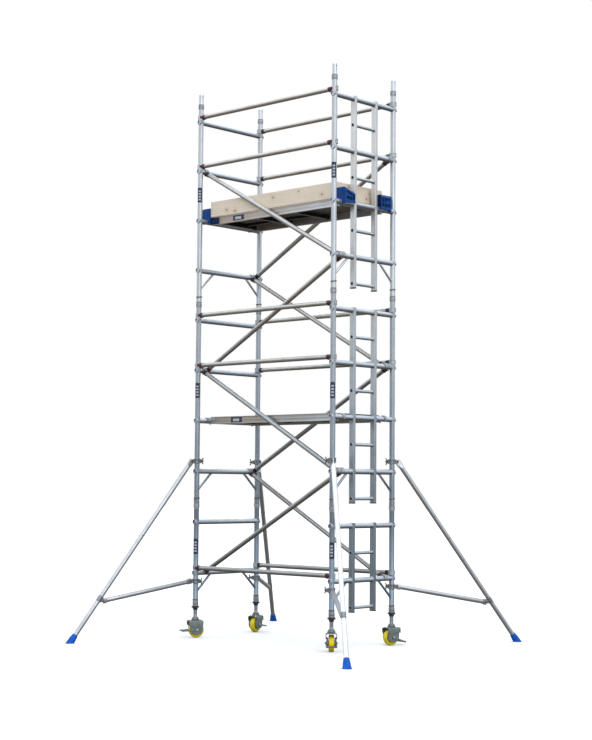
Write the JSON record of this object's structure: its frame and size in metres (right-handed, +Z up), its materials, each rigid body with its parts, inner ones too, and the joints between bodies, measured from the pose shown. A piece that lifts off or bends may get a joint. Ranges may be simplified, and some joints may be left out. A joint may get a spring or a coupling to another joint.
{
  "type": "mobile tower scaffold",
  "caption": "Mobile aluminium access tower with ladder end frames, clip-on braces, trapdoor platforms, toe boards, splayed stabilisers and braked castors.",
  "frame": {"origin": "on the ground, in the middle of the ground that the stabilisers' feet cover", "axes": "+Z up, +X along the bay from the plain end frames to the ladder end frames, -Y towards the front face"},
  "size_m": [3.6378, 3.373, 5.415],
  "materials": {
    "aluminium": "mill-finish drawn tube with light handling scratches",
    "brace_aluminium": "mill-finish drawn tube, warmer underside tone",
    "zinc_steel": "zinc-plated pressed steel",
    "nut_alloy": "cast alloy with a black collar",
    "blue_rubber": "matte moulded rubber",
    "yellow_tyre": "satin moulded nylon",
    "pine": "planed softwood board",
    "plywood": "phenolic film-faced plywood"
  },
  "bodies": {
    "tower": {"frame_base_left": "aluminium", "frame_middle_left": "aluminium", "frame_top_left": "aluminium", "frame_base_ladder": "aluminium", "frame_middle_ladder": "aluminium", "frame_top_ladder": "aluminium", "horizontal_brace_front_1": "brace_aluminium", "horizontal_brace_front_5": "brace_aluminium", "horizontal_brace_front_6": "brace_aluminium", "horizontal_brace_front_9": "brace_aluminium", "horizontal_brace_front_10": "brace_aluminium", "diagonal_braces_front": "brace_aluminium", "toe_board_front": "pine", "horizontal_brace_back_1": "brace_aluminium", "horizontal_brace_back_5": "brace_aluminium", "horizontal_brace_back_6": "brace_aluminium", "horizontal_brace_back_9": "brace_aluminium", "horizontal_brace_back_10": "brace_aluminium", "diagonal_braces_back": "brace_aluminium", "toe_board_back": "pine", "toe_board_left": "pine", "toe_board_right": "pine", "platform_frame_lower": "aluminium", "platform_deck_lower": "plywood", "platform_frame_upper": "aluminium", "platform_deck_upper": "plywood"},
    "hatch_lower": {"trapdoor_lower": "plywood"},
    "hatch_upper": {"trapdoor_upper": "plywood"},
    "nut_front_left": {"collar_nut_front_left": "nut_alloy"},
    "leg_front_left": {"adjustable_leg_front_left": "zinc_steel"},
    "castor_front_left": {"castor_fork_front_left": "zinc_steel"},
    "wheel_front_left": {"castor_wheel_front_left": "yellow_tyre"},
    "lever_front_left": {"brake_lever_front_left": "zinc_steel"},
    "stabiliser_front_left": {"stabiliser_strut_front_left": "aluminium", "stabiliser_stay_front_left": "aluminium", "stabiliser_foot_front_left": "blue_rubber"},
    "nut_back_left": {"collar_nut_back_left": "nut_alloy"},
    "leg_back_left": {"adjustable_leg_back_left": "zinc_steel"},
    "castor_back_left": {"castor_fork_back_left": "zinc_steel"},
    "wheel_back_left": {"castor_wheel_back_left": "yellow_tyre"},
    "lever_back_left": {"brake_lever_back_left": "zinc_steel"},
    "stabiliser_back_left": {"stabiliser_strut_back_left": "aluminium", "stabiliser_stay_back_left": "aluminium", "stabiliser_foot_back_left": "blue_rubber"},
    "nut_front_right": {"collar_nut_front_right": "nut_alloy"},
    "leg_front_right": {"adjustable_leg_front_right": "zinc_steel"},
    "castor_front_right": {"castor_fork_front_right": "zinc_steel"},
    "wheel_front_right": {"castor_wheel_front_right": "yellow_tyre"},
    "lever_front_right": {"brake_lever_front_right": "zinc_steel"},
    "stabiliser_front_right": {"stabiliser_strut_front_right": "aluminium", "stabiliser_stay_front_right": "aluminium", "stabiliser_foot_front_right": "blue_rubber"},
    "nut_back_right": {"collar_nut_back_right": "nut_alloy"},
    "leg_back_right": {"adjustable_leg_back_right": "zinc_steel"},
    "castor_back_right": {"castor_fork_back_right": "zinc_steel"},
    "wheel_back_right": {"castor_wheel_back_right": "yellow_tyre"},
    "lever_back_right": {"brake_lever_back_right": "zinc_steel"},
    "stabiliser_back_right": {"stabiliser_strut_back_right": "aluminium", "stabiliser_stay_back_right": "aluminium", "stabiliser_foot_back_right": "blue_rubber"}
  },
  "joints": [
    {"name": "open_trapdoor_lower", "type": "hinge", "parent": "tower", "child": "hatch_lower", "pos_m": [0.40134, 0.33269, 2.17], "axis": [-1, 0, 0], "range_deg": [0, 90]},
    {"name": "open_trapdoor_upper", "type": "hinge", "parent": "tower", "child": "hatch_upper", "pos_m": [0.40134, 0.33269, 4.17], "axis": [-1, 0, 0], "range_deg": [0, 90]},
    {"name": "turn_nut_front_left", "type": "hinge", "parent": "tower", "child": "nut_front_left", "pos_m": [-0.99866, -0.37331, 0.32], "axis": [0, 0, 1], "range_deg": [-1360, 6760]},
    {"name": "extend_leg_front_left", "type": "slide", "parent": "tower", "child": "leg_front_left", "axis": [0, 0, -1], "range_m": [-0.03, 0.15]},
    {"name": "swivel_castor_front_left", "type": "hinge", "parent": "leg_front_left", "child": "castor_front_left", "pos_m": [-0.99866, -0.37331, 0.18], "axis": [0, 0, 1], "continuous": true},
    {"name": "roll_wheel_front_left", "type": "hinge", "parent": "castor_front_left", "child": "wheel_front_left", "pos_m": [-0.99382, -0.36457, 0.075], "axis": [0.8746, -0.4848, 0], "continuous": true},
    {"name": "press_brake_front_left", "type": "hinge", "parent": "castor_front_left", "child": "lever_front_left", "pos_m": [-0.99382, -0.36457, 0.075], "axis": [0.8746, -0.4848, 0], "range_deg": [-17, 15]},
    {"name": "swing_stabiliser_front_left", "type": "hinge", "parent": "tower", "child": "stabiliser_front_left", "pos_m": [-0.99866, -0.37331, 1], "axis": [0, 0, 1], "range_deg": [-30, 30]},
    {"name": "turn_nut_back_left", "type": "hinge", "parent": "tower", "child": "nut_back_left", "pos_m": [-0.99866, 0.47669, 0.32], "axis": [0, 0, 1], "range_deg": [-1360, 6760]},
    {"name": "extend_leg_back_left", "type": "slide", "parent": "tower", "child": "leg_back_left", "axis": [0, 0, -1], "range_m": [-0.03, 0.15]},
    {"name": "swivel_castor_back_left", "type": "hinge", "parent": "leg_back_left", "child": "castor_back_left", "pos_m": [-0.99866, 0.47669, 0.18], "axis": [0, 0, 1], "continuous": true},
    {"name": "roll_wheel_back_left", "type": "hinge", "parent": "castor_back_left", "child": "wheel_back_left", "pos_m": [-0.99591, 0.46707, 0.075], "axis": [-0.9613, -0.2756, 0], "continuous": true},
    {"name": "press_brake_back_left", "type": "hinge", "parent": "castor_back_left", "child": "lever_back_left", "pos_m": [-0.99591, 0.46707, 0.075], "axis": [-0.9613, -0.2756, 0], "range_deg": [-22, 10]},
    {"name": "swing_stabiliser_back_left", "type": "hinge", "parent": "tower", "child": "stabiliser_back_left", "pos_m": [-0.99866, 0.47669, 1], "axis": [0, 0, 1], "range_deg": [-30, 30]},
    {"name": "turn_nut_front_right", "type": "hinge", "parent": "tower", "child": "nut_front_right", "pos_m": [0.80134, -0.37331, 0.32], "axis": [0, 0, 1], "range_deg": [-1360, 6760]},
    {"name": "extend_leg_front_right", "type": "slide", "parent": "tower", "child": "leg_front_right", "axis": [0, 0, -1], "range_m": [-0.03, 0.15]},
    {"name": "swivel_castor_front_right", "type": "hinge", "parent": "leg_front_right", "child": "castor_front_right", "pos_m": [0.80134, -0.37331, 0.18], "axis": [0, 0, 1], "continuous": true},
    {"name": "roll_wheel_front_right", "type": "hinge", "parent": "castor_front_right", "child": "wheel_front_right", "pos_m": [0.79452, -0.366, 0.075], "axis": [0.7314, 0.682, 0], "continuous": true},
    {"name": "press_brake_front_right", "type": "hinge", "parent": "castor_front_right", "child": "lever_front_right", "pos_m": [0.79452, -0.366, 0.075], "axis": [0.7314, 0.682, 0], "range_deg": [-22, 10]},
    {"name": "swing_stabiliser_front_right", "type": "hinge", "parent": "tower", "child": "stabiliser_front_right", "pos_m": [0.80134, -0.37331, 1], "axis": [0, 0, 1], "range_deg": [-30, 30]},
    {"name": "turn_nut_back_right", "type": "hinge", "parent": "tower", "child": "nut_back_right", "pos_m": [0.80134, 0.47669, 0.32], "axis": [0, 0, 1], "range_deg": [-1360, 6760]},
    {"name": "extend_leg_back_right", "type": "slide", "parent": "tower", "child": "leg_back_right", "axis": [0, 0, -1], "range_m": [-0.03, 0.15]},
    {"name": "swivel_castor_back_right", "type": "hinge", "parent": "leg_back_right", "child": "castor_back_right", "pos_m": [0.80134, 0.47669, 0.18], "axis": [0, 0, 1], "continuous": true},
    {"name": "roll_wheel_back_right", "type": "hinge", "parent": "castor_back_right", "child": "wheel_back_right", "pos_m": [0.79926, 0.46691, 0.075], "axis": [-0.9781, 0.2079, 0], "continuous": true},
    {"name": "press_brake_back_right", "type": "hinge", "parent": "castor_back_right", "child": "lever_back_right", "pos_m": [0.79926, 0.46691, 0.075], "axis": [-0.9781, 0.2079, 0], "range_deg": [-32, 0]},
    {"name": "swing_stabiliser_back_right", "type": "hinge", "parent": "tower", "child": "stabiliser_back_right", "pos_m": [0.80134, 0.47669, 1], "axis": [0, 0, 1], "range_deg": [-30, 30]}
  ],
  "couplings": [
    {"joint": "turn_nut_front_left", "follows": "extend_leg_front_left", "rad_per_m": 785.4},
    {"joint": "turn_nut_back_left", "follows": "extend_leg_back_left", "rad_per_m": 785.4},
    {"joint": "turn_nut_front_right", "follows": "extend_leg_front_right", "rad_per_m": 785.4},
    {"joint": "turn_nut_back_right", "follows": "extend_leg_back_right", "rad_per_m": 785.4}
  ]
}
